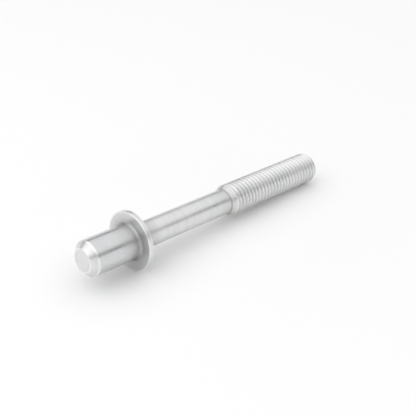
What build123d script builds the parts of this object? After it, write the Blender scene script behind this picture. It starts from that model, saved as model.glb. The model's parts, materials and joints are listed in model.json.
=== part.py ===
"""Collared threaded stud, turned from bar in one piece.

The stud has a plain spigot with a long lead-in chamfer, a thin collar that seats against
the work, a waisted shank, and an M10 threaded end. The threaded end is a plain cylinder
over its crests.

Distances called "along the stud" start at the collar's seat face and grow towards the
threaded end. The stud lies on a flat surface, on the rim of its collar and the rim of its
threaded end, so its axis leans down by a few degrees. The origin is the centre of the seat
face, +X runs along the stud towards the threaded end, and +Z is up.
"""

from build123d import *

import os
from math import atan2, cos, radians, sin, tan

# Driving dimensions, in millimetres and degrees
spigot_dia = 10.8
spigot_length = 16.5  # from the seat face to the tip
tip_chamfer = 1.8  # at 45 degrees, on the spigot's tip

collar_dia = 18.0
collar_thickness = 1.5
seat_fillet = 0.8  # where the spigot meets the collar's seat face

shank_dia = 8.0
shank_fillet = 0.5  # where the shank meets the collar's back

thread_dia = 10.0  # over the crests
thread_start = 40.0  # along the stud, where the thread reaches its full diameter
thread_length = 40.0  # from there to the end face
lead_angle = 30.0  # between the cone that rises to the thread and the stud's axis
end_chamfer = 1.5  # at 45 degrees, on the threaded end

# Radii
spigot_r = spigot_dia / 2
collar_r = collar_dia / 2
shank_r = shank_dia / 2
thread_r = thread_dia / 2

# Stations along the stud
tip = -spigot_length
thread_end = thread_start + thread_length
end_rim = thread_end - end_chamfer
shank_end = thread_start - (thread_r - shank_r) / tan(radians(lead_angle))

# Lying on two rims of unequal radius: the line under them is the surface
lean = atan2(collar_r - thread_r, end_rim - collar_thickness)
stud_axis = Axis((0, 0, 0), (cos(lean), 0, -sin(lean)))
half_section = Plane(origin=(0, 0, 0), x_dir=stud_axis.direction, z_dir=(0, 1, 0))


with BuildPart() as stud:
    with BuildSketch(half_section) as profile:
        with BuildLine():
            Polyline(
                (tip, 0),
                (tip, spigot_r - tip_chamfer),
                (tip + tip_chamfer, spigot_r),
                (0, spigot_r),
                (0, collar_r),
                (collar_thickness, collar_r),
                (collar_thickness, shank_r),
                (shank_end, shank_r),
                (thread_start, thread_r),
                (end_rim, thread_r),
                (thread_end, thread_r - end_chamfer),
                (thread_end, 0),
                close=True,
            )
        make_face()
        seat_corner = profile.vertices().sort_by_distance((0, spigot_r))[0]
        fillet(seat_corner, seat_fillet)
        shank_corner = profile.vertices().sort_by_distance((collar_thickness, shank_r))[0]
        fillet(shank_corner, shank_fillet)
    revolve(axis=stud_axis)
stud.part.label = "stud"


os.makedirs("parts", exist_ok=True)
export_step(stud.part, "parts/stud.step")
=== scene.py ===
"""Looks of the collared threaded stud: turned steel with a cut thread, on a pale floor.

Lengths are in millimetres along the stud, counted from the collar's seat face towards the
threaded end, and radii are in millimetres too. MM turns both into metres.
"""

import json
import math

import bmesh
import bpy
from mathutils import Matrix, Vector


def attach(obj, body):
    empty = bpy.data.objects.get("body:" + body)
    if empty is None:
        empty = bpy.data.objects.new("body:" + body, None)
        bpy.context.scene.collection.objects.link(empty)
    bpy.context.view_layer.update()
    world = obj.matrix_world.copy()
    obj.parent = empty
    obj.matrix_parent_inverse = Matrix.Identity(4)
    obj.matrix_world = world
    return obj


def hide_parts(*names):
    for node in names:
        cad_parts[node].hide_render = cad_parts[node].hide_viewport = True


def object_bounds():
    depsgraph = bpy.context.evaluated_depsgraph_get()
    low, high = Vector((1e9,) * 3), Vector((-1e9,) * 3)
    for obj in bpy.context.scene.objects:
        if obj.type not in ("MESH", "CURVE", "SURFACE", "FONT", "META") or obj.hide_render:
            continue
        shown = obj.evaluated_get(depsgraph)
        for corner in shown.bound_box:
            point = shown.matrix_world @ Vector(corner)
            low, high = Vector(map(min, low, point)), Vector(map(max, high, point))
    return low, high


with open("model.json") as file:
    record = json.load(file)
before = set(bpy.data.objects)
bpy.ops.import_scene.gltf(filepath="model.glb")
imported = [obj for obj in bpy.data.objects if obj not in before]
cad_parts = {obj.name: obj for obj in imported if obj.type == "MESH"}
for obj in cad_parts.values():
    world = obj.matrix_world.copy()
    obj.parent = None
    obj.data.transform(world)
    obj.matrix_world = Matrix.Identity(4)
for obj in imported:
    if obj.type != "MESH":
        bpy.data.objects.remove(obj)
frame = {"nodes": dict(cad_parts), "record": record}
cad_low, cad_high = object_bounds()

MM = 0.001

# ---------------------------------------------------------------- sizes from the frame
mounts = {mount["name"]: mount for mount in frame["record"]["mounts"]}
seat = Vector(mounts["collar_seat"]["pos_m"])
stud_axis = Vector(mounts["thread_end"]["axis"]).normalized()
lean = Vector((1, 0, 0)).rotation_difference(stud_axis)  # from level to lying on two rims
cad_points = [vertex.co for vertex in frame["nodes"]["stud"].data.vertices]
cad_stations = [(point - seat).dot(stud_axis) / MM for point in cad_points]


def wall(name):
    """Where a round mount's wall starts and ends along the stud."""
    mount = mounts[name]
    middle = (Vector(mount["pos_m"]) - seat).dot(stud_axis) / MM
    half = mount["dims"]["length_mm"] / 2
    return middle - half, middle + half


tip, end = min(cad_stations), max(cad_stations)
spigot_start, spigot_end = wall("spigot")
thread_start, end_rim = wall("thread_end")
spigot_r = mounts["spigot"]["dims"]["r_mm"]
thread_r = mounts["thread_end"]["dims"]["r_mm"]
collar_r = (cad_high.y - cad_low.y) / 2 / MM
seat_fillet = -spigot_end
tip_r = spigot_r - (spigot_start - tip)  # the tip's chamfer is at 45 degrees,
end_r = thread_r - (end - end_rim)  # and so is the threaded end's
stud_middle = seat + stud_axis * (tip + end) / 2 * MM

# ---------------------------------------------------------------- sizes of its own
collar_thickness = 1.5
shank_r = 4.0
shank_fillet = 0.5
lead_slope = math.tan(math.radians(30))  # radius gained for each mm along the lead
edge_break = 0.18  # radius of the broken corners
cap_ring_r = 0.3  # innermost ring of each end face, which one flat face fills

pitch = 1.5
root_r = thread_r - 0.61343 * pitch  # depth of an ISO metric external thread
root_radius = 0.14434 * pitch
root_reach = root_radius * math.cos(math.radians(30))  # half the root arc's width
flank_slope = math.tan(math.radians(30))  # axial run of a flank for each mm of depth
crest_half = pitch / 16
crest_round = 0.10  # radius rolled onto each crest corner
crest_level = crest_half - crest_round * flank_slope  # half the width that stays level
crest_reach = crest_level + crest_round * math.cos(math.radians(30))  # the round's far end
run_out = 1.2 * pitch  # how far the groove takes to reach its full depth

# painted shade, partly oil and dust, that darkens the stud's inner corners, creases and thread
# roots
shade_along = 9.0  # how far the wide painted shade, with a little oil, reaches from an inner corner, along the stud
shade_out = 4.5  # and up a face of the collar
shade_core = 0.2  # how far from a corner the crease's painted shade keeps its full darkness
root_shade = 0.5  # how far up from the roots the thread's painted shade and oil reach
crest_wear = 0.14  # how far down from the crests handling wears,
crest_bright = 0.02  # and how far down it wears them fully bright
corner_wear = 0.5  # how far from a corner handling wears,
corner_bright = 0.15  # and how far from it the corner is fully bright
ground_edge = 0.05  # how gradually the grinding begins and ends along the stud
ground_fade = 2.5  # how far up the seat face the grinding fades out
mark_height = 0.0022  # lathe marks
ground_mark_height = 0.0012  # marks of the grinding wheel on the spigot
grain_height = 0.0004  # unevenness all over

segments = 128  # facets round the stud
weld = 1e-7  # metres, within which the rows' shared points become one
ring_gap = 1.5  # longest facet along the plain profile
sharp_angle = math.radians(35)  # an edge that turns by more is shaded as sharp
shank_end = thread_start - (thread_r - shank_r) / lead_slope
zone_margin = 0.2  # plain shank inside the helical rows
thread_zone = shank_end - zone_margin


# ---------------------------------------------------------------- the plain profile
def rounded_corner(before, corner, after, radius, steps=5):
    """Points of an arc that rounds a corner, in order."""
    corner = Vector(corner)
    to_before = (Vector(before) - corner).normalized()
    to_after = (Vector(after) - corner).normalized()
    half_angle = to_before.angle(to_after) / 2
    middle = (to_before + to_after).normalized()
    centre = corner + middle * radius / math.sin(half_angle)
    spoke = corner + to_before * radius / math.tan(half_angle) - centre
    sweep = math.pi - 2 * half_angle
    if spoke.cross(-middle) < 0:
        sweep = -sweep
    turns = [sweep * step / steps for step in range(steps + 1)]
    return [centre + Matrix.Rotation(turn, 2) @ spoke for turn in turns]


def divided(points, gap):
    """The same outline with extra points, so that no step is longer than gap."""
    finer = [points[0]]
    for start, finish in zip(points, points[1:]):
        steps = max(1, math.ceil((finish - start).length / gap))
        finer += [start.lerp(finish, step / steps) for step in range(1, steps + 1)]
    return finer


def beside_corners(points, support):
    """The same outline with a point close to each end of every long straight run."""
    finer = [points[0]]
    for start, finish in zip(points, points[1:]):
        run = finish - start
        if run.length > 4 * support:
            finer.append(start + run.normalized() * support)
            finer.append(finish - run.normalized() * support)
        finer.append(finish)
    return finer


def plain_outline():
    """(station, radius) of each ring from the tip's rim to the helical rows."""
    corners = [
        ((tip, tip_r), edge_break),
        ((spigot_start, spigot_r), edge_break),
        ((0, spigot_r), seat_fillet),
        ((0, collar_r), edge_break),
        ((collar_thickness, collar_r), edge_break),
        ((collar_thickness, shank_r), shank_fillet),
    ]
    path = [(tip, 0)] + [corner for corner, radius in corners] + [(thread_zone, shank_r)]
    points = [Vector((tip, cap_ring_r))]
    for index, (corner, radius) in enumerate(corners, start=1):
        points += rounded_corner(path[index - 1], corner, path[index + 1], radius)
    points.append(Vector(path[-1]))
    return divided(beside_corners(points, edge_break), ring_gap)


# ---------------------------------------------------------------- the thread
def thread_profile(offset):
    """Radius of the thread at an axial offset from a crest's middle."""
    offset = abs((offset + pitch / 2) % pitch - pitch / 2)
    from_root = pitch / 2 - offset
    if from_root < root_reach:
        return root_r + root_radius - math.sqrt(root_radius**2 - from_root**2)
    if offset > crest_reach:
        return thread_r - (offset - crest_half) / flank_slope
    rolled = max(0.0, offset - crest_level)
    return thread_r - crest_round + math.sqrt(crest_round**2 - rolled**2)


def envelope(station):
    """Radius of the turned blank that the thread is cut into."""
    lead = shank_r + (station - shank_end) * lead_slope
    chamfer = thread_r - (station - end_rim)
    return min(max(shank_r, lead), thread_r, chamfer)


def groove_depth(station):
    """Share of its full depth that the groove has, from none at the lead to all of it."""
    share = min(max((station - thread_start) / run_out, 0.0), 1.0)
    return share * share * (3 - 2 * share)


def thread_phases():
    """Axial offsets from a crest at which a row of vertices follows the helix."""
    tangent = pitch / 2 - root_reach
    half = [
        crest_level,
        crest_level + crest_round / 2,
        crest_reach,
        (crest_reach + tangent) / 2,
        tangent,
        pitch / 2 - root_reach / 2,
    ]
    return [0.0, *half, pitch / 2, *[pitch - offset for offset in reversed(half)]]


def helical_rows():
    """Rows of (station, radius) for each segment that follow the helix, and the rows per turn."""
    phases = thread_phases()
    turns = math.ceil((end - thread_zone) / pitch) + 2
    rows = []
    for row in range(turns * len(phases) + 1):
        turn, phase = divmod(row, len(phases))
        start = thread_zone + pitch * (turn - 1) + phases[phase]
        ring = []
        for segment in range(segments):
            exact = start + pitch * segment / segments
            station = min(max(exact, thread_zone), end)
            offset = station - thread_zone - pitch * segment / segments
            groove = (thread_r - thread_profile(offset)) * groove_depth(station)
            ring.append((station, min(envelope(station), thread_r - groove)))
        rows.append(ring)
    return rows, len(phases)


# ---------------------------------------------------------------- the mesh
def plain_rows(outline):
    """The same outline at every segment, as rows like those of the thread."""
    return [[(point.x, point.y)] * segments for point in outline]


def ring_faces(first_row, row_count):
    """Quads between neighbouring rows of a surface that closes on itself."""
    faces = []
    for row in range(row_count - 1):
        start = (first_row + row) * segments
        for segment in range(segments):
            beside = (segment + 1) % segments
            low, low_beside = start + segment, start + beside
            faces.append((low, low_beside, low_beside + segments, low + segments))
    return faces


def helix_faces(first_row, row_count, rows_per_turn):
    """Quads between rows that climb by one pitch each time round."""
    faces = []
    for row in range(row_count - 1):
        for segment in range(segments):
            low = (first_row + row) * segments + segment
            high = low + segments
            if segment < segments - 1:
                faces.append((low, low + 1, high + 1, high))
            elif row + rows_per_turn + 1 < row_count:
                low_beside = (first_row + row + rows_per_turn) * segments
                faces.append((low, low_beside, low_beside + segments, high))
    return faces


def stud_mesh():
    """The whole stud as one closed skin, where the frame has it."""
    front = plain_rows(plain_outline())
    thread, rows_per_turn = helical_rows()
    back = plain_rows([Vector((end, radius)) for radius in (end_r, end_r / 2, cap_ring_r)])
    rows = front + thread + back

    angles = [2 * math.pi * segment / segments for segment in range(segments)]
    circle = [(math.cos(angle), math.sin(angle)) for angle in angles]
    points = [
        (station * MM, radius * across * MM, radius * up * MM)
        for row in rows
        for (station, radius), (across, up) in zip(row, circle)
    ]
    faces = ring_faces(0, len(front))
    faces += helix_faces(len(front), len(thread), rows_per_turn)
    faces += ring_faces(len(front) + len(thread), len(back))
    last_row = (len(rows) - 1) * segments
    faces.append(tuple(reversed(range(segments))))
    faces.append(tuple(range(last_row, last_row + segments)))

    mesh = bpy.data.meshes.new("turned_stud")
    mesh.from_pydata(points, [], faces)
    mesh.transform(Matrix.Translation(seat) @ lean.to_matrix().to_4x4())
    surface = bmesh.new()
    surface.from_mesh(mesh)
    bmesh.ops.remove_doubles(surface, verts=surface.verts, dist=weld)
    bmesh.ops.dissolve_degenerate(surface, edges=surface.edges, dist=weld)
    bmesh.ops.recalc_face_normals(surface, faces=surface.faces)
    surface.to_mesh(mesh)
    surface.free()
    mesh.shade_smooth()
    mesh.set_sharp_from_angle(angle=sharp_angle)
    return mesh


# ---------------------------------------------------------------- shader helpers
class Shader:
    """Short names for making and linking nodes in one node tree."""

    def __init__(self, tree):
        self.tree = tree
        tree.nodes.clear()

    def node(self, kind, inputs=None, **settings):
        made = self.tree.nodes.new(kind)
        for name, value in settings.items():
            setattr(made, name, value)
        for name, value in (inputs or {}).items():
            self.feed(made.inputs[name], value)
        return made

    def feed(self, socket, value):
        if isinstance(value, bpy.types.NodeSocket):
            self.tree.links.new(value, socket)
        else:
            socket.default_value = value

    def math(self, operation, *values, clamp=False):
        made = self.node("ShaderNodeMath", operation=operation, use_clamp=clamp)
        for socket, value in zip(made.inputs, values):
            self.feed(socket, value)
        return made.outputs[0]

    def smooth(self, value, low, high, out_low=0.0, out_high=1.0):
        """Goes smoothly from out_low to out_high as value goes from low to high."""
        before = {"Value": value, "From Min": low, "From Max": high}
        after = {"To Min": out_low, "To Max": out_high}
        made = self.node("ShaderNodeMapRange", before | after, interpolation_type="SMOOTHSTEP")
        return made.outputs["Result"]

    def mix(self, factor, first, second):
        made = self.node("ShaderNodeMix", data_type="RGBA")
        colours = [socket for socket in made.inputs if socket.type == "RGBA"]
        self.feed(made.inputs["Factor"], factor)
        self.feed(colours[0], first)
        self.feed(colours[1], second)
        return next(socket for socket in made.outputs if socket.type == "RGBA")

    def noise(self, vector, scale, detail=2.0, roughness=0.5):
        inputs = {"Vector": vector, "Scale": scale, "Detail": detail, "Roughness": roughness}
        return self.node("ShaderNodeTexNoise", inputs).outputs["Fac"]

    def vector(self, x, y, z):
        return self.node("ShaderNodeCombineXYZ", {"X": x, "Y": y, "Z": z}).outputs[0]

    def scaled(self, vector, factors):
        made = self.node("ShaderNodeVectorMath", {0: vector, 1: factors}, operation="MULTIPLY")
        return made.outputs[0]

    def distance(self, first, second):
        made = self.node("ShaderNodeVectorMath", {0: first, 1: second}, operation="DISTANCE")
        return made.outputs["Value"]


# ---------------------------------------------------------------- the steel
darker_steel = (0.68, 0.69, 0.70, 1)
lighter_steel = (0.76, 0.76, 0.75, 1)
ground_steel = (0.61, 0.62, 0.63, 1)
# dark colour painted as shade into corners, creases and thread roots, with some oil
shaded_oily_steel = (0.36, 0.355, 0.345, 1)
bright_steel = (0.90, 0.90, 0.89, 1)


def stud_coordinates(s):
    """A point's station and radius, and its place with the stud turned level, all in mm."""
    place = s.node("ShaderNodeTexCoord").outputs["Object"]
    level = {"Vector": place, "Center": seat, "Axis": lean.axis, "Angle": -lean.angle}
    place = s.node("ShaderNodeVectorRotate", level, rotation_type="AXIS_ANGLE").outputs[0]
    place = s.scaled(place, (1 / MM,) * 3)
    split = s.node("ShaderNodeSeparateXYZ", {"Vector": place}).outputs
    across_squared, up_squared = (s.math("POWER", split[name], 2.0) for name in "YZ")
    out_squared = s.math("ADD", across_squared, up_squared)
    return split["X"], s.math("SQRT", out_squared), place


def rubbed_bright(s, section, radius, in_thread):
    """1 on the stud's corners and the thread's crests, which handling keeps bright."""
    crests = s.smooth(radius, thread_r - crest_wear, thread_r - crest_bright)
    rubbed = s.math("MULTIPLY", crests, in_thread)
    for corner in (
        (tip, tip_r),
        (spigot_start, spigot_r),
        (0.0, collar_r),
        (collar_thickness, collar_r),
        (end, end_r),
    ):
        away = s.distance(section, (*corner, 0.0))
        rubbed = s.math("MAXIMUM", rubbed, s.smooth(away, corner_wear, corner_bright))
    return rubbed


def painted_shade_and_oil(s, section, radius, in_thread):
    """How dark the painted shade is, with some oil and dust in it: in the thread's roots, lightly
    all around each inner corner, and darkly within a crease's width of it."""
    darkening = s.math("MULTIPLY", s.smooth(radius, root_r + root_shade, root_r, 0.0, 0.6), in_thread)
    reach = s.scaled(section, (1 / shade_along, 1 / shade_out, 0.0))
    # painted shade at the seat fillet, where it also dims the fillet's bright reflection, behind
    # the collar, and at the lead's foot
    for (station, out), wide_dark, crease, crease_dark in (
        ((0.0, spigot_r), 0.85, 1.5, 1.4),
        ((collar_thickness, shank_r), 0.85, 1.0, 1.0),
        ((shank_end, shank_r), 0.35, 0.7, 1.1),
    ):
        away = s.distance(reach, (station / shade_along, out / shade_out, 0.0))
        darkening = s.math("MAXIMUM", darkening, s.smooth(away, 1.0, 0.0, 0.0, wide_dark))
        away = s.distance(section, (station, out, 0.0))
        darkening = s.math("MAXIMUM", darkening, s.smooth(away, crease, shade_core, 0.0, crease_dark))
    return darkening


def turned_steel():
    """Pale satin steel with lathe marks that run round the stud."""
    material = bpy.data.materials.new("turned_steel")
    material.use_nodes = True
    s = Shader(material.node_tree)
    station, radius, place = stud_coordinates(s)
    section = s.vector(station, radius, 0.0)

    # marks
    feed = s.noise(section, 7.0, detail=3.0, roughness=0.6)
    bands = s.noise(section, 0.9, detail=2.0)
    blotch = s.noise(place, 0.16, detail=3.0)
    grain = s.noise(place, 2.2, detail=4.0, roughness=0.65)

    # the ground spigot, bright wear, and painted shade with some oil in corners and roots
    past_chamfer = s.smooth(station, spigot_start - ground_edge, spigot_start + ground_edge)
    before_seat = s.smooth(station, ground_edge, 0.0)
    near_spigot = s.smooth(radius, spigot_r + ground_fade, spigot_r)
    ground = s.math("MULTIPLY", s.math("MULTIPLY", past_chamfer, before_seat), near_spigot)
    in_thread = s.smooth(station, shank_end, thread_start)
    wear = rubbed_bright(s, section, radius, in_thread)
    wear = s.math("MULTIPLY", wear, s.smooth(grain, 0.3, 0.6, 0.35, 1.0))
    # painted shade, with some oil, that darkens the inner corners, creases and thread roots
    shade_and_oil = painted_shade_and_oil(s, section, radius, in_thread)
    shade_and_oil = s.math("MULTIPLY", shade_and_oil, s.smooth(blotch, 0.2, 0.8, 0.6, 1.0))

    # colour
    tone = s.math("ADD", s.math("MULTIPLY", bands, 0.5), s.math("MULTIPLY", blotch, 0.5))
    colour = s.mix(s.smooth(tone, 0.35, 0.65), darker_steel, lighter_steel)
    colour = s.mix(s.math("MULTIPLY", ground, 0.6), colour, ground_steel)
    # the painted shade darkens the colour in corners, creases and roots
    colour = s.mix(s.math("MULTIPLY", shade_and_oil, 0.7), colour, shaded_oily_steel)
    colour = s.mix(s.math("MULTIPLY", wear, 0.8), colour, bright_steel)

    # finish
    patches = s.math("ADD", blotch, s.math("MULTIPLY", grain, 0.4))
    rough = s.smooth(patches, 0.4, 1.0, 0.27, 0.37)
    rough = s.math("ADD", rough, s.math("MULTIPLY", s.math("SUBTRACT", feed, 0.5), 0.10))
    rough = s.math("SUBTRACT", rough, s.math("MULTIPLY", ground, 0.05))
    rough = s.math("ADD", rough, s.math("MULTIPLY", shade_and_oil, 0.14))
    rough = s.math("SUBTRACT", rough, s.math("MULTIPLY", wear, 0.06), clamp=True)

    # relief, in metres
    height = s.smooth(ground, 0.0, 1.0, mark_height * MM, ground_mark_height * MM)
    relief = s.math("MULTIPLY", feed, height)
    relief = s.math("ADD", relief, s.math("MULTIPLY", grain, grain_height * MM))
    bump = s.node("ShaderNodeBump", {"Strength": 1.0, "Distance": 1.0, "Height": relief})

    steel = s.node("ShaderNodeBsdfPrincipled", {"Metallic": 1.0})
    s.feed(steel.inputs["Base Color"], colour)
    s.feed(steel.inputs["Roughness"], rough)
    s.feed(steel.inputs["Normal"], bump.outputs["Normal"])
    s.node("ShaderNodeOutputMaterial", {"Surface": steel.outputs[0]})
    return material


# ---------------------------------------------------------------- the stage
floor_z = cad_low.z
floor_half = 3.0  # metres, so that its edge is far from every view
floor_matt = 0.1  # metres from the origin, within which the floor is matt,
floor_white = 1.2  # and beyond which it is plain white
ceiling_level = 1.06
room_level = 0.08
# sines of the elevations at which the screen fades out and the ceiling fades in
screen_top, screen_gone = 0.24, 0.30
ceiling_begins, ceiling_full = 0.28, 0.62


def pale_floor():
    """A matt white floor that turns plain white far from the stud, so that no edge shows."""
    material = bpy.data.materials.new("pale_floor")
    material.use_nodes = True
    s = Shader(material.node_tree)
    place = s.node("ShaderNodeNewGeometry").outputs["Position"]
    away = s.node("ShaderNodeVectorMath", {0: place}, operation="LENGTH").outputs["Value"]
    matt = s.node("ShaderNodeBsdfDiffuse", {"Color": (0.98, 0.98, 0.98, 1)})
    white = s.node("ShaderNodeEmission", {"Color": (1, 1, 1, 1), "Strength": 1.0})
    far = s.smooth(away, floor_matt, floor_white)
    mixed = s.node("ShaderNodeMixShader", {0: far, 1: matt.outputs[0], 2: white.outputs[0]})
    s.node("ShaderNodeOutputMaterial", {"Surface": mixed.outputs[0]})

    mesh = bpy.data.meshes.new("floor")
    signs = [(-1, -1), (1, -1), (1, 1), (-1, 1)]
    corners = [(x * floor_half, y * floor_half, floor_z) for x, y in signs]
    mesh.from_pydata(corners, [], [(0, 1, 2, 3)])
    mesh.materials.append(material)
    floor = bpy.data.objects.new("floor", mesh)
    bpy.context.scene.collection.objects.link(floor)


def studio_sky():
    """A white screen along the horizon, a darker room above it, and a soft white ceiling. The
    dark stretch is what the steel's edges reflect, so that they stand out on white."""
    world = bpy.data.worlds.new("studio")
    world.use_nodes = True
    bpy.context.scene.world = world
    s = Shader(world.node_tree)
    direction = s.node("ShaderNodeTexCoord").outputs["Generated"]
    height = s.node("ShaderNodeSeparateXYZ", {"Vector": direction}).outputs["Z"]
    screen = s.smooth(height, screen_top, screen_gone, 1.0, 0.0)
    ceiling = s.smooth(height, ceiling_begins, ceiling_full, room_level, ceiling_level)
    level = s.math("MAXIMUM", screen, ceiling)
    dome = s.node("ShaderNodeBackground", {"Color": (1, 1, 1, 1), "Strength": level})
    s.node("ShaderNodeOutputWorld", {"Surface": dome.outputs[0]})


def soft_box(name, place, size, power):
    """A square lamp that faces the middle of the stud."""
    lamp = bpy.data.lights.new(name, "AREA")
    lamp.shape = "SQUARE"
    lamp.size = size
    lamp.energy = power
    holder = bpy.data.objects.new(name, lamp)
    holder.location = place
    holder.rotation_euler = (stud_middle - holder.location).to_track_quat("-Z", "Y").to_euler()
    bpy.context.scene.collection.objects.link(holder)


def photographer(azimuth, elevation, distance, lens):
    """A camera that looks at the middle of the stud. Azimuth 0 looks along +Y."""
    camera = bpy.data.cameras.new("camera")
    camera.lens = lens
    camera.sensor_width = 36.0
    camera.clip_start = 0.01
    turn, rise = math.radians(azimuth), math.radians(elevation)
    level = math.cos(rise)
    back = Vector((math.sin(turn) * level, -math.cos(turn) * level, math.sin(rise)))
    holder = bpy.data.objects.new("camera", camera)
    holder.location = stud_middle + back * distance
    holder.rotation_euler = (-back).to_track_quat("-Z", "Y").to_euler()
    bpy.context.scene.collection.objects.link(holder)
    bpy.context.scene.camera = holder


# ---------------------------------------------------------------- the scene
stud = bpy.data.objects.new("turned_stud", stud_mesh())
stud.data.materials.append(turned_steel())
bpy.context.scene.collection.objects.link(stud)
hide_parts("stud")
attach(stud, "root")

pale_floor()
studio_sky()
soft_box("side_lamp", place=Vector((-0.35, 0.10, 0.40)), size=0.7, power=0.60)
photographer(azimuth=-44.92, elevation=29.21, distance=0.26027, lens=73.07)

bpy.context.scene.view_settings.view_transform = "Standard"
